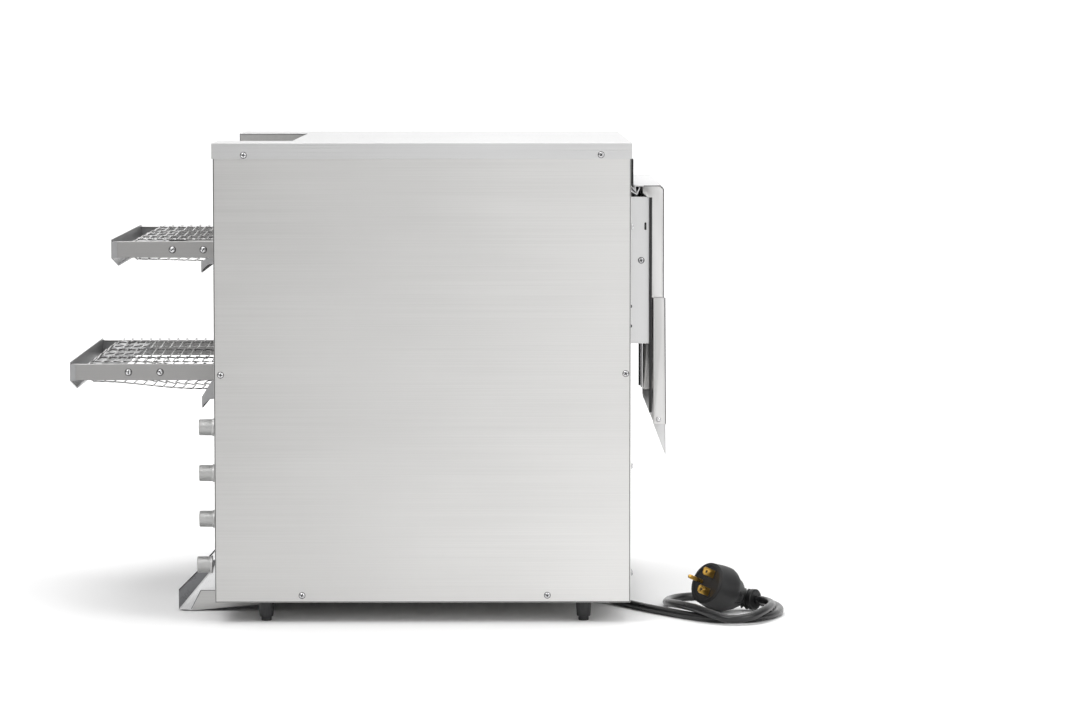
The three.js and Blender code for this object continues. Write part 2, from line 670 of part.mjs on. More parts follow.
// Where the plug's middle line is, and which way it heads, at a depth behind its face.
function alongPlug(depth) {
  const back = PLUG_AXIS.clone().multiplyScalar(-1);
  if (depth <= PLUG_LENGTH) {
    return { centre: new THREE.Vector3(...PLUG_FACE).addScaledVector(back, depth), heading: back };
  }
  const place = (depth - PLUG_LENGTH + 4) / NECK_STEP;
  const index = Math.min(Math.floor(place), NECK.points.length - 2);
  const centre = NECK.points[index].clone().lerp(NECK.points[index + 1], Math.min(place - index, 1));
  const turn = THREE.MathUtils.clamp((place - 0.5) / NECK_TURNS, 0, 1);
  return { centre, heading: back.lerp(NECK.out, turn).normalize() };
}

// The plug's shell, neck and collar: one turned outline, bent along the middle line.
function plugBody() {
  const neck = (place) => -(PLUG_LENGTH - 4 + place * NECK_STEP);
  const outline = [[0, 0], [25, 0], [26, -1.2], [29, -23], [28.6, -30], [20.5, -47], [15, -PLUG_LENGTH],
    [10.8, neck(2)], [10.8, neck(3)], [10.8, neck(4)], [10.8, neck(5)], [10.8, neck(6)], [10.8, neck(7)],
    [10.8, neck(8)], [13, neck(8.2)], [13, neck(9.8)], [12, neck(10)], [0, neck(10)]];
  const geometry = turned(outline.reverse(), 24);
  const side = new THREE.Vector3(0, 0, 1).cross(PLUG_AXIS).normalize();
  const over = PLUG_AXIS.clone().cross(side);
  const back = PLUG_AXIS.clone().multiplyScalar(-1);
  const position = geometry.getAttribute('position');
  for (let index = 0; index < position.count; index += 1) {
    const { centre, heading } = alongPlug(-position.getY(index));
    const reach = side.clone().multiplyScalar(position.getX(index)).addScaledVector(over, -position.getZ(index));
    reach.applyQuaternion(new THREE.Quaternion().setFromUnitVectors(back, heading));
    centre.add(reach);
    position.setXYZ(index, centre.x, centre.y, centre.z);
  }
  return solid(geometry);
}

function blade(up) {
  const geometry = new THREE.BoxGeometry(10, 19, 1.6);
  geometry.rotateY(Math.PI / 2);
  geometry.translate(0, 9.5 + GAP, 0);
  return onPlug(geometry, 0, 9, up);
}

function groundPin() {
  const outline = [[0, GAP], [2.6, GAP], [2.6, 21.4], [1.8, 23.4], [0, 24]];
  return onPlug(turned(outline, 12), 0, -9, 1);
}

// ---------------------------------------------------------------- assembly

add('base_pan', basePan(), FINISH.casing);
add('side_panel_near', sidePanel(-1), FINISH.casing);
add('side_panel_far', sidePanel(1), FINISH.casing);
add('top_cover', topCover(), FINISH.casing);
add('front_panel', centreFrontPanel(), FINISH.casing);
add('control_panel', controlPanel(), FINISH.casing);
add('rear_panel', rearPanel(), FINISH.casing);
add('inner_wall_near', innerWall(-1), FINISH.casing);
add('inner_wall_far', innerWall(1), FINISH.casing);

add('chamber_ceiling', ceiling(), FINISH.liner);
add('chamber_divider', divider(), FINISH.liner);
add('chamber_floor', chamberFloor(), FINISH.liner);
for (const { name, z } of HEATERS) {
  add(name, heater(z), FINISH.heater);
}
add('crumb_tray', crumbTray(), FINISH.casing);

for (const deck of DECKS) {
  add(`${deck.name}_rail_near`, rail(deck, -1), FINISH.rail);
  add(`${deck.name}_rail_far`, rail(deck, 1), FINISH.rail);
  add(`${deck.name}_nose_pan`, nosePan(deck), FINISH.nose);
  add(`${deck.name}_belt_guide`, beltGuide(deck), FINISH.nose);
  add(`${deck.name}_belt`, belt(deck), FINISH.belt);
  add(`${deck.name}_idler_roller`, idler(deck), FINISH.shaft);
  add(`${deck.name}_drive_shaft`, driveShaft(deck), FINISH.shaft);
  add(`${deck.name}_gear_motor`, gearMotor(deck), FINISH.motor);
}

KNOB_Z.forEach((z, i) => {
  add(`${KNOB_NAMES[i]}_knob`, knob(z, KNOB_PULLED[i]), FINISH.knob);
  add(`${KNOB_NAMES[i]}_control`, controlBody(z), FINISH.control);
});

add('front_apron', apron(), FINISH.nose);
add('hood_gutter', hoodGutter(), FINISH.hood);
add('hood_inner_frame', hoodInnerFrame(), FINISH.hood);
add('rear_hood_upper', hoodUpper(), FINISH.hood);
add('rear_hood_lower', hoodLower(), FINISH.hood);

for (const foot of FEET) {
  add(`foot_${foot.name}`, footBody(foot), FINISH.plastic);
  add(`foot_pad_${foot.name}`, footPad(foot), FINISH.plastic);
}

add('cord_gland', gland(), FINISH.plastic);
add('power_cord', cord(), FINISH.cord);
add('plug_body', plugBody(), FINISH.plastic);
add('plug_blade_upper', blade(11.5), FINISH.brass);
add('plug_blade_lower', blade(-11.5), FINISH.brass);
add('plug_ground_pin', groundPin(), FINISH.brass);

export default oven;
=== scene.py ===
import math

import bmesh
import bpy
from mathutils import Matrix, Vector


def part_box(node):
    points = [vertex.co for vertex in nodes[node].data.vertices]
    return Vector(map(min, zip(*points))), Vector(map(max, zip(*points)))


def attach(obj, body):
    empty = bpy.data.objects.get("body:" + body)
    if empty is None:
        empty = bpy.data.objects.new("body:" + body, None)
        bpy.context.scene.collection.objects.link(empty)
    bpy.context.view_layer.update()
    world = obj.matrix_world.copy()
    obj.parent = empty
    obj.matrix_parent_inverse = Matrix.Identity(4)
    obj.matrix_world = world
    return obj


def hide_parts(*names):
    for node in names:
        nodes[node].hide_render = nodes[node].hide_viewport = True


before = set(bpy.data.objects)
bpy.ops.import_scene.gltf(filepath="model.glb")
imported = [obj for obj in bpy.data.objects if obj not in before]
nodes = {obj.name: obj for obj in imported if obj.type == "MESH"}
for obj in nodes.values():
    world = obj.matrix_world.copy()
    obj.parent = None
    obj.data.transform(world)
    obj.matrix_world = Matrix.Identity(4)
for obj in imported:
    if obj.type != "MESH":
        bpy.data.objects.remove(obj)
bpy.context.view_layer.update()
MM = 0.001

# ------------------------------------------------------------------ camera
camera = bpy.data.objects.new("camera", bpy.data.cameras.new("camera"))
bpy.context.collection.objects.link(camera)
camera.data.lens = 138.9
camera.data.sensor_width = 36
camera.data.clip_end = 60
camera.location = (0.169, -5.336, 0.704)
camera.rotation_euler = (math.radians(90 - 4.38), 0, math.radians(-0.49))
bpy.context.scene.camera = camera


# ------------------------------------------------------------------ materials
def new_material(name):
    material = bpy.data.materials.new(name)
    material.use_nodes = True
    tree = material.node_tree
    return material, tree, tree.nodes["Principled BSDF"]


def grain(tree, stretch, detail=3.0, roughness=0.6):
    """Noise drawn out by stretch: a small number along an axis makes long marks on that axis."""
    place = tree.nodes.new("ShaderNodeTexCoord")
    mapping = tree.nodes.new("ShaderNodeMapping")
    mapping.inputs["Scale"].default_value = stretch
    noise = tree.nodes.new("ShaderNodeTexNoise")
    noise.inputs["Scale"].default_value = 1
    noise.inputs["Detail"].default_value = detail
    noise.inputs["Roughness"].default_value = roughness
    tree.links.new(place.outputs["Object"], mapping.inputs["Vector"])
    tree.links.new(mapping.outputs["Vector"], noise.inputs["Vector"])
    return noise.outputs["Fac"]


def between(tree, factor, low, high, start=0.3, end=0.7):
    """Reads a 0 to 1 factor as a number from low to high."""
    span = tree.nodes.new("ShaderNodeMapRange")
    span.inputs["From Min"].default_value = start
    span.inputs["From Max"].default_value = end
    span.inputs["To Min"].default_value = low
    span.inputs["To Max"].default_value = high
    tree.links.new(factor, span.inputs["Value"])
    return span.outputs["Result"]


def along_axis(tree, axis, output="Object"):
    """Where a point lies along one axis."""
    coordinates = tree.nodes.new("ShaderNodeTexCoord")
    split = tree.nodes.new("ShaderNodeSeparateXYZ")
    tree.links.new(coordinates.outputs[output], split.inputs["Vector"])
    return split.outputs[axis]


def tint(tree, factor, dark, light):
    """Mixes two colours by a factor."""
    mix = tree.nodes.new("ShaderNodeMix")
    mix.data_type = "RGBA"
    mix.inputs["A"].default_value = (*dark, 1)
    mix.inputs["B"].default_value = (*light, 1)
    tree.links.new(factor, mix.inputs["Factor"])
    return mix.outputs["Result"]


def raise_surface(tree, shader, factor, distance, strength=1.0):
    """Relief on the surface, distance deep in metres."""
    bump = tree.nodes.new("ShaderNodeBump")
    bump.inputs["Strength"].default_value = strength
    bump.inputs["Distance"].default_value = distance
    tree.links.new(factor, bump.inputs["Height"])
    tree.links.new(bump.outputs["Normal"], shader.inputs["Normal"])


def shade_towards_front(tree, colour, x_front, x_rear, front_share):
    """The colour with painted shade: multiplied by a share that rises to one from the front to the rear, so
    the front is painted darker.
    """
    share = between(tree, along_axis(tree, "X"), front_share, 1, x_front, x_rear)
    scaled = tree.nodes.new("ShaderNodeVectorMath")
    scaled.operation = "SCALE"
    tree.links.new(colour, scaled.inputs[0])
    tree.links.new(share, scaled.inputs["Scale"])
    return scaled.outputs["Vector"]


def brushed_steel(name, shade, roughness, along=(3, 900, 900), contrast=0.05, relief=0.00002, front_shade=None):
    """Stainless sheet with a straight brushed grain and faint clouding; the optional ramp of painted shade
    darkens it towards the front.
    """
    material, tree, shader = new_material(name)
    lines = grain(tree, along, detail=4)
    clouds = grain(tree, (2.2, 2.2, 5.5), detail=2)
    both = tree.nodes.new("ShaderNodeMath")
    both.operation = "MULTIPLY_ADD"
    both.inputs[1].default_value = 0.45
    tree.links.new(clouds, both.inputs[0])
    halved = tree.nodes.new("ShaderNodeMath")
    halved.operation = "MULTIPLY"
    halved.inputs[1].default_value = 0.55
    tree.links.new(lines, halved.inputs[0])
    tree.links.new(halved.outputs[0], both.inputs[2])
    low = tuple(c * (1 - contrast) for c in shade)
    high = tuple(min(c * (1 + contrast), 1) for c in shade)
    colour = tint(tree, between(tree, both.outputs[0], 0, 1), low, high)
    # painted shade, darker towards the front
    if front_shade:
        colour = shade_towards_front(tree, colour, *front_shade)
    tree.links.new(colour, shader.inputs["Base Color"])
    tree.links.new(between(tree, lines, roughness - 0.06, roughness + 0.08), shader.inputs["Roughness"])
    raise_surface(tree, shader, lines, relief)
    shader.inputs["Metallic"].default_value = 1
    return material


def moulded(name, shade, roughness, grain_scale=900, relief=0.00003):
    """Moulded plastic or rubber with a fine matt skin."""
    material, tree, shader = new_material(name)
    speckle = grain(tree, (grain_scale, grain_scale, grain_scale), detail=2)
    worn = grain(tree, (25, 25, 25), detail=3)
    lighter = tuple(c * 1.5 + 0.004 for c in shade)
    tree.links.new(tint(tree, between(tree, worn, 0, 1), shade, lighter), shader.inputs["Base Color"])
    tree.links.new(between(tree, worn, roughness - 0.05, roughness + 0.08), shader.inputs["Roughness"])
    raise_surface(tree, shader, speckle, relief)
    return material


def plain_metal(name, shade, roughness, scale=120, contrast=0.12, relief=0.00001):
    """Turned or drawn metal with an even, slightly mottled finish."""
    material, tree, shader = new_material(name)
    spots = grain(tree, (scale, scale, scale), detail=4)
    low = tuple(c * (1 - contrast) for c in shade)
    high = tuple(min(c * (1 + contrast), 1) for c in shade)
    tree.links.new(tint(tree, between(tree, spots, 0, 1), low, high), shader.inputs["Base Color"])
    tree.links.new(between(tree, spots, roughness - 0.05, roughness + 0.1), shader.inputs["Roughness"])
    raise_surface(tree, shader, spots, relief)
    shader.inputs["Metallic"].default_value = 1
    return material


# Panel and cover steel carry painted shade: their colour is darker towards the front.
PANEL = brushed_steel("panel_steel", (0.66, 0.655, 0.645), 0.34, contrast=0.09, front_shade=(-0.17, 0.30, 0.78))
COVER = brushed_steel("cover_steel", (0.62, 0.62, 0.62), 0.32, contrast=0.06, front_shade=(-0.17, 0.15, 0.84))
LINER = brushed_steel("liner_steel", (0.47, 0.465, 0.46), 0.38, along=(900, 900, 4), contrast=0.08)
RAIL = brushed_steel("rail_steel", (0.32, 0.316, 0.312), 0.33)
NOSE = brushed_steel("nose_steel", (0.34, 0.34, 0.345), 0.34, along=(900, 4, 900))
APRON = brushed_steel("apron_steel", (0.74, 0.74, 0.745), 0.30, along=(900, 4, 900))
# The apron wings' dark, streaked steel is painted shade.
WING_SHADE_STEEL = brushed_steel("wing_painted_shade", (0.17, 0.172, 0.178), 0.30, along=(60, 4, 60), contrast=0.3)
HOOD = brushed_steel("hood_steel", (0.68, 0.68, 0.682), 0.33, along=(900, 900, 4), contrast=0.04)
BAND = brushed_steel("hood_band_steel", (0.62, 0.615, 0.61), 0.34, along=(900, 900, 4), contrast=0.05)
WIRE = plain_metal("belt_wire", (0.62, 0.615, 0.61), 0.2, scale=300, contrast=0.25)
SHAFT = plain_metal("turned_steel", (0.45, 0.45, 0.455), 0.26)
FASTENER = plain_metal("bright_fastener", (0.62, 0.62, 0.63), 0.14, contrast=0.08)
HEATER = plain_metal("heater_sheath", (0.10, 0.085, 0.075), 0.55, scale=60, contrast=0.4)
KNOB = plain_metal("satin_aluminium", (0.56, 0.56, 0.555), 0.5, scale=400, contrast=0.04)
BRASS = plain_metal("brass_blade", (0.66, 0.40, 0.09), 0.3, scale=90, contrast=0.1)
# Near-black steel for strips of painted shade in gaps, on shaded returns and along hems.
EDGE_SHADE_STEEL = brushed_steel("painted_shade_steel", (0.06, 0.06, 0.062), 0.35, contrast=0.2)
# Black for painted shade: gap shadows, holes, recess floors and shadow rings under screws.
SHADE_BLACK = moulded("painted_shade_black", (0.01, 0.01, 0.01), 0.5)
ENAMEL = moulded("black_enamel", (0.02, 0.02, 0.021), 0.4, grain_scale=300)
DARK_PLASTIC = moulded("dark_plastic", (0.02, 0.02, 0.02), 0.5)
RUBBER = moulded("foot_rubber", (0.012, 0.012, 0.013), 0.42)
JACKET = moulded("cord_jacket", (0.006, 0.006, 0.0065), 0.3, grain_scale=500)
PLUG = moulded("plug_moulding", (0.006, 0.006, 0.0065), 0.5, grain_scale=700)


def paint(obj, material):
    obj.data.materials.clear()
    obj.data.materials.append(material)


def fit(obj, material, body):
    paint(obj, material)
    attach(obj, body)


# ------------------------------------------------------------------ making pieces
def alone(obj):
    for other in list(bpy.context.selected_objects):
        other.select_set(False)
    obj.select_set(True)
    bpy.context.view_layer.objects.active = obj


def start(name, operator, **size):
    """A primitive, alone in the selection, with its name."""
    bpy.ops.object.select_all(action="DESELECT")
    operator(**size)
    obj = bpy.context.active_object
    obj.name = name
    bpy.ops.object.transform_apply(location=True, rotation=True, scale=True)
    return obj


def pick_faces(obj, test):
    """In edit mode, selects only the faces whose centre and normal pass the test."""
    mesh = bmesh.from_edit_mesh(obj.data)
    mesh.normal_update()
    for part in (*mesh.verts, *mesh.edges, *mesh.faces):
        part.select = False
    for face in mesh.faces:
        if test(face.calc_center_median(), face.normal):
            face.select_set(True)
    bmesh.update_edit_mesh(obj.data)


def pick_edges(obj, test):
    """In edit mode, selects only the edges whose two ends pass the test."""
    mesh = bmesh.from_edit_mesh(obj.data)
    for part in (*mesh.verts, *mesh.edges, *mesh.faces):
        part.select = False
    for edge in mesh.edges:
        if test(edge.verts[0].co, edge.verts[1].co):
            edge.select_set(True)
    bmesh.update_edit_mesh(obj.data)


def pick_corner(obj, number):
    """In edit mode, selects only one corner, and tells where it is."""
    mesh = bmesh.from_edit_mesh(obj.data)
    for part in (*mesh.verts, *mesh.edges, *mesh.faces):
        part.select = False
    mesh.verts.ensure_lookup_table()
    mesh.verts[number].select_set(True)
    bmesh.update_edit_mesh(obj.data)
    return mesh.verts[number].co.copy()


def edit(obj, mode="FACE"):
    alone(obj)
    bpy.ops.object.mode_set(mode="EDIT")
    bpy.ops.mesh.select_mode(type=mode)


def leave():
    bpy.ops.object.mode_set(mode="OBJECT")


def apply_modifiers(obj):
    alone(obj)
    for modifier in list(obj.modifiers):
        bpy.ops.object.modifier_apply(modifier=modifier.name)


def soften(obj, width, segments=2, angle=35):
    """Small rounds on the sharp edges, then smooth shading."""
    bevel = obj.modifiers.new("round", "BEVEL")
    bevel.width = width
    bevel.segments = segments
    bevel.limit_method = "ANGLE"
    bevel.angle_limit = math.radians(angle)
    apply_modifiers(obj)
    smooth(obj)


def smooth(obj, angle=35):
    alone(obj)
    bpy.ops.object.shade_smooth_by_angle(angle=math.radians(angle))


def place(obj, at, along=(0, 0, 1), spin=0.0):
    """Puts a piece made along +Z at a point, pointing along a direction, in its mesh."""
    turn = Vector((0, 0, 1)).rotation_difference(Vector(along)).to_matrix().to_4x4()
    obj.data.transform(Matrix.Translation(Vector(at)) @ turn @ Matrix.Rotation(spin, 4, "Z"))
    obj.data.update()


def copy_of(pattern, name):
    obj = bpy.data.objects.new(name, pattern.data.copy())
    bpy.context.collection.objects.link(obj)
    return obj


def discard(obj):
    bpy.data.objects.remove(obj, do_unlink=True)


def joined(parts):
    """The parts as one piece, which is the first of them."""
    bpy.ops.object.select_all(action="DESELECT")
    for part in parts:
        part.select_set(True)
    bpy.context.view_layer.objects.active = parts[0]
    bpy.ops.object.join()
    return parts[0]


def cut_away(obj, cutter):
    """Cuts the cutter's shape out of a piece."""
    cut = obj.modifiers.new("cut", "BOOLEAN")
    cut.object = cutter
    cut.operation = "DIFFERENCE"
    cut.solver = "EXACT"
    apply_modifiers(obj)
    discard(cutter)


def in_mm(stations):
    """(height, radius) stations given in millimetres, in metres."""
    return [(height * MM, radius * MM) for height, radius in stations]


def grown(name, stations, sides):
    """A round piece along +Z, grown ring by ring from (height, radius) stations, in metres."""
    height, radius = stations[0]
    obj = start(name, bpy.ops.mesh.primitive_circle_add, vertices=sides, radius=radius,
                fill_type="NGON", location=(0, 0, height))
    edit(obj)
    bpy.ops.mesh.select_all(action="SELECT")
    for next_height, next_radius in stations[1:]:
        bpy.ops.mesh.extrude_region_move(
            TRANSFORM_OT_translate={"value": (0, 0, next_height - height)})
        factor = next_radius / radius
        bpy.ops.transform.resize(value=(factor, factor, 1), center_override=(0, 0, next_height))
        height, radius = next_height, next_radius
    bpy.ops.mesh.select_all(action="SELECT")
    bpy.ops.mesh.normals_make_consistent(inside=False)
    leave()
    return obj


# ------------------------------------------------------------------ power cord
CORD_DIAMETER = 10
GLAND = (272, 43)
RELIEF_LENGTH = 36
GAP = 0.3
PLUG_FACE = Vector((416, -243, 39))
PLUG_LENGTH = 56
NECK_LENGTH = 26
NECK_OUT = Vector((0.78, -0.62, 0.03)).normalized()
PLUG_YAW = math.radians(50)
PLUG_PITCH = math.radians(22)
PLUG_AXIS = Vector((-math.sin(PLUG_YAW) * math.cos(PLUG_PITCH),
                    -math.cos(PLUG_YAW) * math.cos(PLUG_PITCH),
                    math.sin(PLUG_PITCH)))


def plug_neck():
    """The bent line of the plug's neck."""
    point = PLUG_FACE - PLUG_AXIS * (PLUG_LENGTH - 4)
    points = [point.copy()]
    for step in range(9):
        heading = (-PLUG_AXIS).lerp(NECK_OUT, step / 8).normalized()
        point = point + heading * (NECK_LENGTH / 9)
        points.append(point)
    return [*points, point + NECK_OUT * 4]


NECK = plug_neck()
CORD_END = NECK[-1] + NECK_OUT * GAP
CORD_ROUTE = [
    (GLAND[0], 10 - RELIEF_LENGTH - 2 * GAP, GLAND[1]), (272.3, -46, 42.2), (274, -68, 36.5), (278.5, -92,
                                                                                               25),
    (286.5, -116, 13.2), (298, -140, 6.6), (311, -164, 5.3), (325, -188, 5.3), (344, -220, 5.3),
    (366, -254, 5.3), (392, -290, 5.3), (423, -317, 5.3), (461, -319, 5.3), (489, -293, 5.3),
    (504, -256, 5.3), (506, -216, 5.3), (497, -178, 5.3), (477, -146, 5.3), (448, -122, 5.3),
    (418, -112, 5.3), (391, -121, 5.3), (376, -144, 5.6), (370, -175, 7), (370, -210, 10.4),
    (375, -243, 13.8), (385, -273, 15.8), (400, -301, 15.6), (419, -325, 11.8), (441, -340, 7.6),
    (464, -335, 9.8), (481, -316, 14.2), (490, -292, 15.8), (494.5, -266, 15.2), (493.2, -236, 14.2),
    tuple(CORD_END + NECK_OUT * 8), tuple(CORD_END),
]


def smooth_route(points, steps):
    """The smooth line through the points, with knots spaced by the root of each step's length."""
    line = [Vector(p) for p in points]
    line = [line[0] * 2 - line[1], *line, line[-1] * 2 - line[-2]]
    out = []
    for p0, p1, p2, p3 in zip(line, line[1:], line[2:], line[3:]):
        d1, d2, d3 = (math.sqrt((b - a).length) for a, b in ((p0, p1), (p1, p2), (p2, p3)))
        t1 = (p1 - p0) / d1 - (p2 - p0) / (d1 + d2) + (p2 - p1) / d2
        t2 = (p2 - p1) / d2 - (p3 - p1) / (d2 + d3) + (p3 - p2) / d3
        t1, t2 = t1 * d2, t2 * d2
        for step in range(steps):
            t = step / steps
            out.append((2 * t**3 - 3 * t**2 + 1) * p1 + (t**3 - 2 * t**2 + t) * t1
                       + (3 * t**2 - 2 * t**3) * p2 + (t**3 - t**2) * t2)
    out.append(line[-2])
    return out


def curve_piece(name, points, radius, resolution=6):
    data = bpy.data.curves.new(name, "CURVE")
    data.dimensions = "3D"
    data.bevel_depth = radius
    data.bevel_resolution = resolution
    data.use_fill_caps = True
    spline = data.splines.new("POLY")
    spline.points.add(len(points) - 1)
    for knot, point in zip(spline.points, points):
        knot.co = (*point, 1)
    spline.use_smooth = True
    obj = bpy.data.objects.new(name, data)
    bpy.context.collection.objects.link(obj)
    return obj


route = [p * MM for p in smooth_route(CORD_ROUTE, 8)]
cord = curve_piece("supply_cord", route, CORD_DIAMETER / 2 * MM)
cord.data.materials.append(JACKET)
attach(cord, "cabinet")
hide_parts("power_cord")

# ------------------------------------------------------------------ finishes of the solid parts
FINISHES = [
    (PANEL, ("side_panel_near", "side_panel_far", "control_panel", "rear_panel", "front_panel")),
    (PANEL, ("base_pan",)),
    (COVER, ("top_cover",)),
    (LINER, ("inner_wall_near", "inner_wall_far", "chamber_ceiling", "chamber_divider",
                      "chamber_floor", "crumb_tray")),
    (RAIL, ("upper_rail_near", "upper_rail_far", "lower_rail_near", "lower_rail_far")),
    (NOSE, ("upper_nose_pan", "lower_nose_pan", "upper_belt_guide", "lower_belt_guide")),
    (SHAFT, ("upper_idler_roller", "lower_idler_roller", "upper_drive_shaft",
                      "lower_drive_shaft")),
    (HEATER, ("upper_top_heater", "upper_bottom_heater", "lower_top_heater",
                        "lower_bottom_heater")),
    (ENAMEL, ("upper_gear_motor", "lower_gear_motor")),
    (HOOD, ("hood_gutter", "hood_inner_frame")),
    (RUBBER, ("foot_front_near", "foot_rear_near", "foot_front_far", "foot_rear_far")),
    (RUBBER, ("foot_pad_front_near", "foot_pad_rear_near", "foot_pad_front_far",
                          "foot_pad_rear_far")),
    (DARK_PLASTIC, ("cord_gland",)),
    (DARK_PLASTIC, ("upper_heat_control", "lower_heat_control", "upper_speed_control",
                               "lower_speed_control")),
]
for material, names in FINISHES:
    for node in names:
        paint(nodes[node], material)

FOLDED = ["side_panel_near", "side_panel_far", "control_panel", "rear_panel", "front_panel", "base_pan",
          "top_cover", "hood_inner_frame",
          "crumb_tray", "upper_rail_near", "upper_rail_far", "lower_rail_near", "lower_rail_far"]
for node in FOLDED:
    weld = nodes[node].modifiers.new("join", "WELD")
    weld.merge_threshold = 0.00002
    edge = nodes[node].modifiers.new("broken edge", "BEVEL")
    edge.width = 0.0004
    edge.segments = 2
    edge.limit_method = "ANGLE"
    edge.angle_limit = math.radians(40)

# ------------------------------------------------------------------ wire belts
WIRE_RADIUS = 0.9 * MM
LINK_PITCH = 12.0
SPACES = 6
BELT_EDGE = 197 * MM
DRIVE_X = 288
TURN_RADIUS = 12.2
DECKS = {"upper": {"z": 447.5, "nose": -282, "sag": 2.5}, "lower": {"z": 296.5, "nose": -337, "sag": 9.0}}


def belt_point(deck, along):
    """A point on the belt's loop, in millimetres, and along is measured from the nose over the top."""
    run = DRIVE_X - deck["nose"]
    turn = math.pi * TURN_RADIUS
    along %= 2 * (run + turn)
    if along < run:
        return deck["nose"] + along, deck["z"] + TURN_RADIUS
    along -= run
    if along < turn:
        angle = along / TURN_RADIUS
        return DRIVE_X + TURN_RADIUS * math.sin(angle), deck["z"] + TURN_RADIUS * math.cos(angle)
    along -= turn
    if along < run:
        x = DRIVE_X - along
        reach = (x - deck["nose"]) / 260
        hang = deck["sag"] * math.sin(math.pi * reach) ** 2 if 0 < reach < 1 else 0
        return x, deck["z"] - TURN_RADIUS - hang
    along -= run
    angle = along / TURN_RADIUS
    return deck["nose"] - TURN_RADIUS * math.sin(angle), deck["z"] - TURN_RADIUS * math.cos(angle)


def belt_strand(pitch):
    """One cranked wire of the belt, lying across it, with a hook at each crank."""
    hook = 0.9 * MM
    near, far = -hook, pitch * MM + hook
    width = 2 * BELT_EDGE / SPACES
    points = [(far - 3 * MM, -BELT_EDGE, 0), (near, -BELT_EDGE, 0)]
    for space in range(SPACES):
        level = near if space % 2 == 0 else far
        other = far if space % 2 == 0 else near
        edge = -BELT_EDGE + width * (space + 1)
        if space < SPACES - 1:
            points.append((level, edge - 0.9 * MM, WIRE_RADIUS))
            points.append((other, edge + 0.9 * MM, -WIRE_RADIUS))
        else:
            points.append((level, edge, 0))
            points.append((level - 3 * MM, edge, 0))
    strand = curve_piece("strand", [Vector(p) for p in points], WIRE_RADIUS, resolution=0)
    alone(strand)
    bpy.ops.object.convert(target="MESH")
    return bpy.context.active_object


for deck_name, deck in DECKS.items():
    loop = 2 * (DRIVE_X - deck["nose"] + math.pi * TURN_RADIUS)
    count = 2 * round(loop / LINK_PITCH / 2)
    pitch = loop / count
    pattern = belt_strand(pitch)
    strands = []
    for link in range(count):
        x0, z0 = belt_point(deck, link * pitch)
        x1, z1 = belt_point(deck, (link + 1) * pitch)
        forward = Vector((x1 - x0, 0, z1 - z0)).normalized()
        outward = forward.cross(Vector((0, 1, 0)))
        turn = Matrix((forward, Vector((0, 1, 0)), outward)).transposed().to_4x4()
        strand = copy_of(pattern, f"{deck_name}_strand")
        strand.data.transform(Matrix.Translation((x0 * MM, 0, z0 * MM)) @ turn)
        strands.append(strand)
    discard(pattern)
    mesh_belt = joined(strands)
    mesh_belt.name = f"{deck_name}_wire_belt"
    bpy.ops.object.shade_smooth()
    fit(mesh_belt, WIRE, "cabinet")
    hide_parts(f"{deck_name}_belt")

# ------------------------------------------------------------------ knobs
KNOB_LENGTH = 18.6 * MM
KNOB_SHAFT = 3 * MM
KNOB_RADIUS = 10 * MM
RIB_ANGLE = 2.5                 # degrees from one side of a rib to the other


def ribbed_knob(length, radius):
    """A knob along +Z: ribbed grip, plain flange at its foot, dished cap."""
    flange = radius + 0.9 * MM
    obj = grown("knob", [(0, flange), (2.2 * MM, flange), (2.5 * MM, radius + 0.2 * MM), (2.9 * MM, radius),
                         (length - 0.8 * MM, radius * 0.985), (length, radius * 0.93)], 144)
    edit(obj)
    pick_faces(obj, lambda c, n: abs(n.z) < 0.2 and c.z > 4 * MM
               and int(round(math.degrees(math.atan2(c.y, c.x)) / RIB_ANGLE - 0.5)) % 2 == 0)
    bpy.ops.mesh.inset(thickness=0.00006, depth=-0.00035, use_individual=True)
    pick_faces(obj, lambda c, n: n.z > 0.9 and c.z > length - 0.1 * MM)
    bpy.ops.mesh.inset(thickness=0.0012)
    bpy.ops.mesh.inset(thickness=0.0006, depth=-0.0006)
    leave()
    smooth(obj, 28)
    return obj


for name in ("upper_heat", "lower_heat", "upper_speed", "lower_speed"):
    low, high = (Vector(c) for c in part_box(f"{name}_knob"))
    middle = (low + high) / 2
    knob = ribbed_knob(KNOB_LENGTH, KNOB_RADIUS)
    knob.name = f"{name}_grip"
    place(knob, (low.x + KNOB_LENGTH, middle.y, middle.z), (-1, 0, 0))
    fit(knob, KNOB, f"{name}_dial")
    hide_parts(f"{name}_knob")
    ring = grown(f"{name}_skirt", in_mm([(0, 10.6), (0.4, 11.5), (1.4, 11.5)]), 48)
    place(ring, (high.x - KNOB_SHAFT, middle.y, middle.z), (-1, 0, 0))
    smooth(ring, 40)
    fit(ring, DARK_PLASTIC, f"{name}_dial")
    step = KNOB_SHAFT * 0.45
    stem = grown(f"{name}_stem", [(0, 3 * MM), (step, 3 * MM), (step + 1e-5, 4.4 * MM),
                                  (KNOB_SHAFT, 4.4 * MM)], 18)
    place(stem, (high.x, middle.y, middle.z), (-1, 0, 0))
    fit(stem, DARK_PLASTIC, f"{name}_dial")

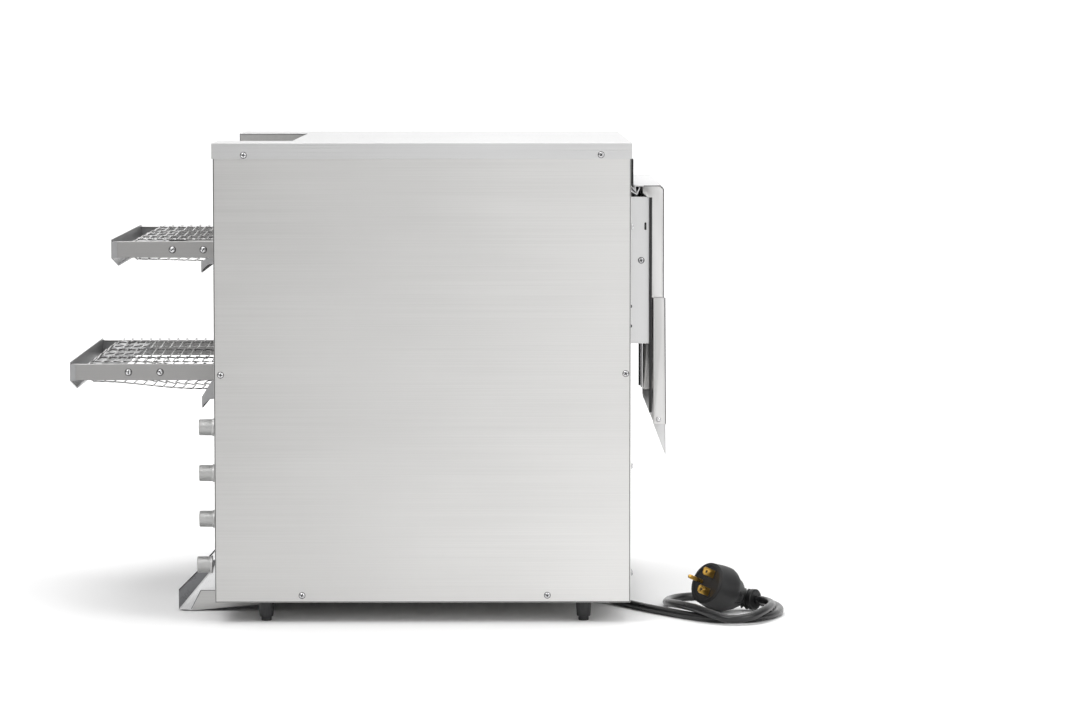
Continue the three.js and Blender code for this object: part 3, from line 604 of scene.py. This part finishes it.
# ------------------------------------------------------------------ plates cut to an outline
def cut_plate(name, outline, y0, y1, round_corner=()):
    """A plate with an outline in X and Z, in millimetres, from y0 to y1, each corner moved to its place."""
    obj = start(name, bpy.ops.mesh.primitive_circle_add, vertices=len(outline), radius=MM, fill_type="NGON")
    edit(obj, "VERT")
    for number, (x, z) in enumerate(outline):
        bpy.ops.transform.translate(value=Vector((x, y0, z)) * MM - pick_corner(obj, number))
    bpy.ops.mesh.select_mode(type="FACE")
    bpy.ops.mesh.select_all(action="SELECT")
    bpy.ops.mesh.extrude_region_move(TRANSFORM_OT_translate={"value": (0, (y1 - y0) * MM, 0)})
    bpy.ops.mesh.select_mode(type="EDGE")
    for (x, z), size in round_corner:
        spot = Vector((x, z)) * MM
        pick_edges(obj, lambda a, b: abs(a.y - b.y) > 1e-5 and (a.xz - spot).length < 2e-5)
        bpy.ops.mesh.bevel(offset=size * MM, segments=6, affect="EDGES")
    bpy.ops.mesh.select_all(action="SELECT")
    bpy.ops.mesh.normals_make_consistent(inside=False)
    leave()
    return obj


def plate(name, outline, span, material, body, round_off=0.0003, round_corner=()):
    """A cut plate, finished and on its body; span is where it lies across the oven, in millimetres."""
    obj = cut_plate(name, outline, *sorted(span), round_corner)
    soften(obj, round_off, angle=50)
    fit(obj, material, body)
    return obj


def box_outline(x0, z0, x1, z1):
    return [(x0, z0), (x1, z0), (x1, z1), (x0, z1)]


SIDES = (("near", -1), ("far", 1))
HAIRLINE = 0.0001               # edge rounding of the thinnest strips

# ------------------------------------------------------------------ front apron
TOE, RAMP_TOP = -235, -93
PILLAR_X = -183                 # the apron passes between the side compartments from here on
APRON_HALF = 206.9
SHEET = 1.2
HEM = 1.8


def ramp_height(x):
    return 2 + (x - TOE) * 1.2


PILLAR_Z = ramp_height(PILLAR_X)
ramp_foot = (TOE + 1, ramp_height(TOE + 1))
ramp_head = (RAMP_TOP - 2, ramp_height(RAMP_TOP - 2))
ramp_outline = [ramp_foot, (ramp_foot[0] - 1, ramp_foot[1] + 1.4), (ramp_head[0] - 1, ramp_head[1] + 1.4),
                ramp_head]
ramp_sheet = plate("apron_ramp", ramp_outline, (-APRON_HALF, APRON_HALF), APRON, "apron")
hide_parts("front_apron")
skirt_outline = [(TOE + 0.4, 2.4), (-217, 1), (-100, 11), (RAMP_TOP, 11), (RAMP_TOP, ramp_height(RAMP_TOP)),
                 (PILLAR_X, PILLAR_Z)]
for side, y in (("near", -207), ("far", 205.8)):
    plate(f"apron_skirt_{side}", skirt_outline, (y, y + SHEET), APRON, "apron")
near_wing = [(TOE, 2.4), (PILLAR_X, PILLAR_Z), (PILLAR_X, PILLAR_Z + 3), (-205, 57), (TOE, 27)]
far_wing = [(TOE, 2.4), (PILLAR_X, PILLAR_Z), (PILLAR_X, PILLAR_Z + 3), (TOE, 8)]
# The wings are painted dark with painted shade.
for side, y, outline in (("near", -207.4, near_wing), ("far", 206.2, far_wing)):
    plate(f"apron_wing_{side}", outline, (y, y + SHEET), WING_SHADE_STEEL, "apron")
    (x0, z0), (x1, z1) = outline[-1], outline[-2]
    # A dark strip of painted shade along the wing's top edge.
    hem = [(x0, z0 - HEM), (x0, z0), (x1, z1), (x1, z1 - HEM)]
    plate(f"apron_hem_{side}", hem, (y - 0.5, y + 1.7), EDGE_SHADE_STEEL, "apron")
fold = [(TOE + 0.6, 1.6), (TOE - 0.1, 2.6), (PILLAR_X - 0.6, PILLAR_Z + 0.6),
        (PILLAR_X + 0.1, PILLAR_Z - 0.4)]
plate("apron_fold", fold, (-207.9, -206.8), HOOD, "apron")
# A thin dark strip of painted shade under the wing's sloped rim.
rib = [(-220, 2.5), (-219.2, 2.5), (-207.5, 25.4), (PILLAR_X, 25.4), (PILLAR_X, 26.1), (-208, 26.1)]
plate("apron_rib", rib, (-207.3, -206.9), EDGE_SHADE_STEEL, "apron", HAIRLINE)
lower_side = [(-219, 1.4), (-100, 11.2), (-94, 11.2), (-94, 25.4), (-207.6, 25.4)]
plate("apron_lower_side", lower_side, (-207.25, -206.9), PANEL, "apron", HAIRLINE)

# ------------------------------------------------------------------ rear hood
HOOD_HALF = 207
shell_outline = [(328, 519.2), (328, 526), (363.8, 526), (363.8, 374), (362.6, 374), (362.6, 524.8),
                 (329.2, 524.8), (329.2, 519.2)]
upper_shell = plate("hood_roof_and_back", shell_outline, (-HOOD_HALF, HOOD_HALF), HOOD, "rear_hood",
                    round_corner=[((363.8, 526), 4.2), ((362.6, 524.8), 3.0)])
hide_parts("rear_hood_upper")
lower_back = plate("hood_lower_back", [(364.1, 388), (365.8, 194.5), (367, 194.5), (365.3, 388)],
                   (-208.5, 208.5), HOOD, "rear_hood")
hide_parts("rear_hood_lower")
GABLE = [(338, 517), (344, 511.4), (349.4, 511.4), (349.4, 388), (362.7, 388), (362.7, 521), (359, 524.9),
         (338, 524.9)]
LAP = [(351.4, 387.9), (351.4, 231.4), (366.2, 231.4), (364.9, 387.9)]
TONGUE = [(351.8, 240), (351.8, 231), (366.6, 195.2), (366.4, 240)]
GAP_SHADE_OUTLINE = [(346.2, 246), (348.1, 246), (348.1, 519.5), (346.2, 513)]
CHEEK_SLOT = box_outline(340.2, 471, 342.8, 480.5)
for side, sign in SIDES:
    def across(a, b):
        return sign * a, sign * b

    plate(f"hood_gable_{side}", GABLE, across(HOOD_HALF - 1.4, HOOD_HALF - 0.2), BAND, "rear_hood")
    # The return flanges are near-black with painted shade.
    for part, z0, z1 in (("upper", 374, 512), ("lower", 246, 373.6)):
        plate(f"hood_{part}_return_{side}", box_outline(348.2, z0, 349.5, z1),
              across(HOOD_HALF - 40, HOOD_HALF - 0.3), EDGE_SHADE_STEEL, "rear_hood")
    plate(f"hood_lap_{side}", LAP, across(HOOD_HALF + 0.3, HOOD_HALF + 1.5), BAND, "rear_hood",
          round_corner=[(LAP[1], 3.0)])
    plate(f"hood_tongue_{side}", TONGUE, across(HOOD_HALF - 0.6, HOOD_HALF + 0.2), HOOD, "rear_hood")
    rivet = grown(f"hood_rivet_{side}", in_mm([(0, 3.4), (0.8, 3.2), (1.5, 2.2), (1.7, 0.9)]), 20)
    place(rivet, (357.6 * MM, sign * (HOOD_HALF + 1.4) * MM, 237.6 * MM), (0, sign, 0))
    smooth(rivet, 50)
    fit(rivet, FASTENER, "rear_hood")
    # A black strip of painted shadow in the gap between hood and cheek.
    plate(f"hood_gap_shade_{side}", GAP_SHADE_OUTLINE, across(200.4, 206.6), SHADE_BLACK, "rear_hood")
    # The slot and the notches are black sheets where the holes show only shade: painted shade.
    plate(f"cheek_slot_{side}", CHEEK_SLOT, across(199.8, 200.3), SHADE_BLACK, "cabinet", HAIRLINE,
          round_corner=[(corner, 1.2) for corner in CHEEK_SLOT])
    for mark, z in enumerate((377, 352.6)):
        notch = grown(f"cheek_notch_{side}_{mark + 1}", in_mm([(0, 2.4), (0.3, 2.3)]), 16)
        place(notch, (322.9 * MM, sign * 200 * MM, z * MM), (0, sign, 0))
        fit(notch, SHADE_BLACK, "cabinet")
# Black strips of painted shadow in the gap under the rear skirt.
for side, sign in SIDES:
    plate(f"rear_gap_shade_{side}", box_outline(321.6, 528, 322.9, 561.5), (sign * 206, sign * 323.2), SHADE_BLACK,
          "cabinet", 0.0002)

# ------------------------------------------------------------------ painted shade in gaps and along edges
SHADE_STRIP_WIDTH = 0.8
panel_low, panel_high = (Vector(c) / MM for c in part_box("side_panel_near"))
X0, X1, Z0, Z1 = panel_low.x + 0.5, panel_high.x - 0.5, panel_low.z + 0.5, panel_high.z - 1
# Thin dark strips of painted shade along the panel's front, rear and foot edges.
PANEL_EDGE_SHADES = [("front", box_outline(X0, Z0, X0 + SHADE_STRIP_WIDTH, Z1)),
               ("rear", box_outline(X1 - SHADE_STRIP_WIDTH, Z0, X1, Z1)),
               ("foot", box_outline(X0, Z0, X1, Z0 + SHADE_STRIP_WIDTH))]
# Dark strips of painted shade along the hood's bends.
HOOD_EDGES = [("back", box_outline(363.0, 388, 364.1, 522), 207.1),
              ("roof", box_outline(339, 525.1, 360, 526.1), 207.1),
              ("lap", [(365.0, 388), (366.0, 388), (367.1, 232), (366.2, 232)], 208.7)]
for side, sign in SIDES:
    for label, outline in PANEL_EDGE_SHADES:
        plate(f"panel_edge_shade_{label}_{side}", outline, (sign * 323.2, sign * 323.75), EDGE_SHADE_STEEL, "cabinet",
              HAIRLINE)
    for label, outline, y in HOOD_EDGES:
        plate(f"hood_edge_{label}_{side}", outline, (sign * y, sign * (y + 0.5)), EDGE_SHADE_STEEL, "rear_hood",
              HAIRLINE)

# ------------------------------------------------------------------ plug
def along_neck(step):
    return (NECK[step + 1] - NECK[step]).normalized()


SHELL_STATIONS = [(0, 22.5), (0.6, 24.6), (1.8, 26), (12, 27.6), (22, 28.8), (28, 28.9), (32, 27.6),
                  (47, 20.4), (53, 16.4), (56, 14)]
GRIP_ANGLE = 36                 # degrees taken by a grip recess, and by the land beside it
shell = grown("plug_shell", in_mm(SHELL_STATIONS), 40)
edit(shell)
pick_faces(shell, lambda c, n: 33 * MM < c.z < 46 * MM
           and int(math.degrees(math.atan2(c.y, c.x)) // GRIP_ANGLE) % 2 == 0)
bpy.ops.mesh.inset(thickness=1.2 * MM, depth=-1.6 * MM)
pick_faces(shell, lambda c, n: n.z < -0.9)
bpy.ops.mesh.inset(thickness=3 * MM)
bpy.ops.mesh.inset(thickness=0.6 * MM, depth=-0.5 * MM)
leave()
smooth(shell, 32)
place(shell, PLUG_FACE * MM, -PLUG_AXIS, spin=0.3)
neck_core = curve_piece("neck_core", [p * MM for p in NECK], 10.6 * MM, resolution=6)
alone(neck_core)
bpy.ops.object.convert(target="MESH")
neck_core = bpy.context.active_object
neck_parts = [shell, neck_core]
NECK_RINGS = ((2, 12.6, 2.4), (4, 12.7, 2.4), (6, 12.8, 2.4), (8, 13, 6.4))
for step, radius, length in NECK_RINGS:
    stations = [(0, radius - 0.7), (0.5, radius), (length - 0.6, radius), (length, radius - 0.8)]
    ring = grown("neck_ring", in_mm(stations), 32)
    smooth(ring, 40)
    place(ring, NECK[step] * MM, along_neck(step))
    neck_parts.append(ring)
for part in neck_parts:
    paint(part, PLUG)
joined(neck_parts)
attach(shell, "cabinet")
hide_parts("plug_body")


def blade_piece(name, node):
    """A flat blade with a chamfered tip and a hole, made along +Z with its width on Y."""
    outline = [(-5, 0.3), (5, 0.3), (5, 16.8), (2.8, 19.3), (-2.8, 19.3), (-5, 16.8)]
    obj = cut_plate(name, outline, -0.8, 0.8)
    drill = start("drill", bpy.ops.mesh.primitive_cylinder_add, vertices=20, radius=1.7 * MM, depth=6 * MM,
                  rotation=(math.radians(90), 0, 0), location=(0, 0, 13.6 * MM))
    cut_away(obj, drill)
    soften(obj, 0.00018, angle=50)
    up = Vector((0, 0, 1)).cross(PLUG_AXIS).normalized()
    over = PLUG_AXIS.cross(up)
    offset = 11.5 * MM * (1 if "upper" in node else -1)
    turn = Matrix((over, -up, PLUG_AXIS)).transposed().to_4x4()
    base = PLUG_FACE * MM + up * 9 * MM + over * offset
    obj.data.transform(Matrix.Translation(base) @ turn)
    fit(obj, BRASS, "cabinet")
    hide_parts(node)
    return obj


blade_pieces = [blade_piece("blade_upper", "plug_blade_upper"), blade_piece("blade_lower",
                                                                            "plug_blade_lower")]
sideways = Vector((0, 0, 1)).cross(PLUG_AXIS).normalized()
pin = grown("ground_pin", in_mm([(0.3, 2.6), (21, 2.6), (22.6, 2.2), (23.6, 1.3), (24, 0.4)]), 20)
smooth(pin, 40)
place(pin, PLUG_FACE * MM - sideways * 9 * MM + PLUG_AXIS.cross(sideways) * MM, PLUG_AXIS)
fit(pin, BRASS, "cabinet")
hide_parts("plug_ground_pin")

# ------------------------------------------------------------------ fasteners
def cut_cross(obj, radius, height, arms):
    """Slots cut across the top of a screw head."""
    for number in range(arms):
        bar = start("bar", bpy.ops.mesh.primitive_cube_add, size=1, location=(0, 0, height),
                    rotation=(0, 0, math.pi * number / 2), scale=(radius * 1.5, radius * 0.34, height * 1.1))
        cut_away(obj, bar)


def pan_head(radius, height, arms=2):
    """A pan-head screw along +Z with a cross recess, or one slot, over a thin black ring of painted shadow,
    with painted shade on the recess floor.
    """
    obj = grown("screw", [(0, radius), (height * 0.45, radius), (height * 0.85, radius * 0.8),
                          (height, radius * 0.5)], 24)
    cut_cross(obj, radius, height, arms)
    smooth(obj, 50)
    paint(obj, FASTENER)
    # a black ring of painted shadow around the head
    shadow_ring = grown("shadow_ring", [(0, radius * 1.16), (height * 0.14, radius * 1.16)], 24)
    paint(shadow_ring, SHADE_BLACK)
    # painted shade on the recess floor
    floor = grown("recess", [(0, radius * 0.62), (height * 0.47, radius * 0.62)], 16)
    paint(floor, SHADE_BLACK)
    return joined([obj, shadow_ring, floor])


NEAR_FACE = -323.4 * MM
SKIRT_FACE = -325 * MM
screw = pan_head(3.5 * MM, 2.0 * MM)
NEAR_SCREWS = [(-145, SKIRT_FACE, 566.5), (284, SKIRT_FACE, 567),
               (-174, NEAR_FACE, 302), (314, NEAR_FACE, 303.5),
               (-77, NEAR_FACE, 34.7), (219.5, NEAR_FACE, 34.7)]
for number, (x, y, z) in enumerate(NEAR_SCREWS):
    for side, facing in SIDES:
        head = copy_of(screw, f"{side}_panel_screw_{number + 1}")
        place(head, (x * MM, y * -facing, z * MM), (0, facing, 0), spin=0.7 * number)
        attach(head, "cabinet")
CHEEK_SCREWS = [(336.4, side * 200 * MM, 433.7) for side in (-1, 1)]
for number, (x, y, z) in enumerate(CHEEK_SCREWS):
    head = copy_of(screw, f"cheek_screw_{number + 1}")
    place(head, (x * MM, y, z * MM), (0, math.copysign(1, y), 0), spin=0.4)
    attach(head, "cabinet")
REAR_SCREWS = [(side * y, z) for side in (-1, 1) for y, z in ((305, 190), (305, 480), (305, 60), (120, 45))]
for number, (y, z) in enumerate(REAR_SCREWS):
    head = copy_of(screw, f"rear_panel_screw_{number + 1}")
    place(head, (321.6 * MM, y * MM, z * MM), (1, 0, 0), spin=0.5 * number)
    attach(head, "cabinet")
discard(screw)

bolt = pan_head(3.9 * MM, 2.8 * MM, arms=1)
RAIL_BOLTS = [("upper", -240), ("upper", -202), ("lower", -295), ("lower", -256)]
for number, (deck_name, x) in enumerate(RAIL_BOLTS):
    for side in (-1, 1):
        head = copy_of(bolt, f"{deck_name}_rail_bolt_{number + 1}_{'near' if side < 0 else 'far'}")
        place(head, (x * MM, side * 209 * MM, DECKS[deck_name]["z"] * MM), (0, side, 0),
              spin=0.6 + 0.5 * number)
        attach(head, "cabinet")
discard(bolt)

# ------------------------------------------------------------------ studio
FLOOR_SIZE = (16, 12)
BACKDROP_GLOW = 0.36
GLOW_RISES = (0.8, 3.2)


def stage_floor():
    floor = start("studio_floor", bpy.ops.mesh.primitive_plane_add, size=1)
    floor.data.transform(Matrix.Diagonal((*FLOOR_SIZE, 1, 1)))
    edit(floor, "EDGE")
    pick_edges(floor, lambda a, b: a.y > 5.9 and b.y > 5.9)
    bpy.ops.mesh.extrude_region_move(TRANSFORM_OT_translate={"value": (0, 1.2, 0.4)})
    bpy.ops.mesh.extrude_region_move(TRANSFORM_OT_translate={"value": (0, 0.4, 1.2)})
    bpy.ops.mesh.extrude_region_move(TRANSFORM_OT_translate={"value": (0, 0, 6)})
    leave()
    alone(floor)
    bpy.ops.object.shade_smooth()
    material, tree, shader = new_material("studio_white")
    faint = grain(tree, (0.5, 0.5, 0.5), detail=1)
    tree.links.new(tint(tree, faint, (0.90, 0.90, 0.90), (0.92, 0.92, 0.92)), shader.inputs["Base Color"])
    shader.inputs["Roughness"].default_value = 0.9
    shader.inputs["Emission Color"].default_value = (1, 1, 1, 1)
    glow = between(tree, along_axis(tree, "Y"), 0, BACKDROP_GLOW, *GLOW_RISES)
    tree.links.new(glow, shader.inputs["Emission Strength"])
    paint(floor, material)


def soft_light(name, at, towards, size, power):
    data = bpy.data.lights.new(name, "AREA")
    data.shape = "RECTANGLE"
    data.size, data.size_y = size
    data.energy = power
    light = bpy.data.objects.new(name, data)
    bpy.context.collection.objects.link(light)
    light.location = at
    light.rotation_euler = (Vector(towards) - Vector(at)).to_track_quat("-Z", "Y").to_euler()


# Brightness of the surroundings from the front, -X, to the rear, +X.
SKY_STOPS = [(0.0, 0.16), (0.10, 0.22), (0.28, 0.72), (0.50, 0.95), (0.66, 1.0), (0.86, 0.85), (0.96, 0.20)]


def studio_world():
    world = bpy.data.worlds.new("studio")
    bpy.context.scene.world = world
    world.use_nodes = True
    tree = world.node_tree
    centred = tree.nodes.new("ShaderNodeMath")
    centred.operation = "MULTIPLY_ADD"
    centred.inputs[1].default_value = 0.5
    centred.inputs[2].default_value = 0.5
    tree.links.new(along_axis(tree, "X", "Generated"), centred.inputs[0])
    ramp = tree.nodes.new("ShaderNodeValToRGB")
    ends = ramp.color_ramp.elements
    for element, (position, value) in ((ends[0], SKY_STOPS[0]), (ends[1], SKY_STOPS[-1])):
        element.position = position
        element.color = (value, value, value, 1)
    for position, value in SKY_STOPS[1:-1]:
        ends.new(position).color = (value, value, value, 1)
    tree.links.new(centred.outputs[0], ramp.inputs["Fac"])
    tree.links.new(ramp.outputs["Color"], tree.nodes["Background"].inputs["Color"])


stage_floor()
studio_world()
soft_light("key", (-1.6, -2.6, 3.4), (0.1, 0, 0.2), (2.4, 1.6), 60)
soft_light("fill", (2.6, -2.4, 1.8), (0.1, 0, 0.3), (1.6, 2.2), 30)
soft_light("top", (0.2, 0.6, 3.6), (0.1, 0, 0.3), (3.0, 2.0), 60)
bpy.context.scene.view_settings.view_transform = "Standard"
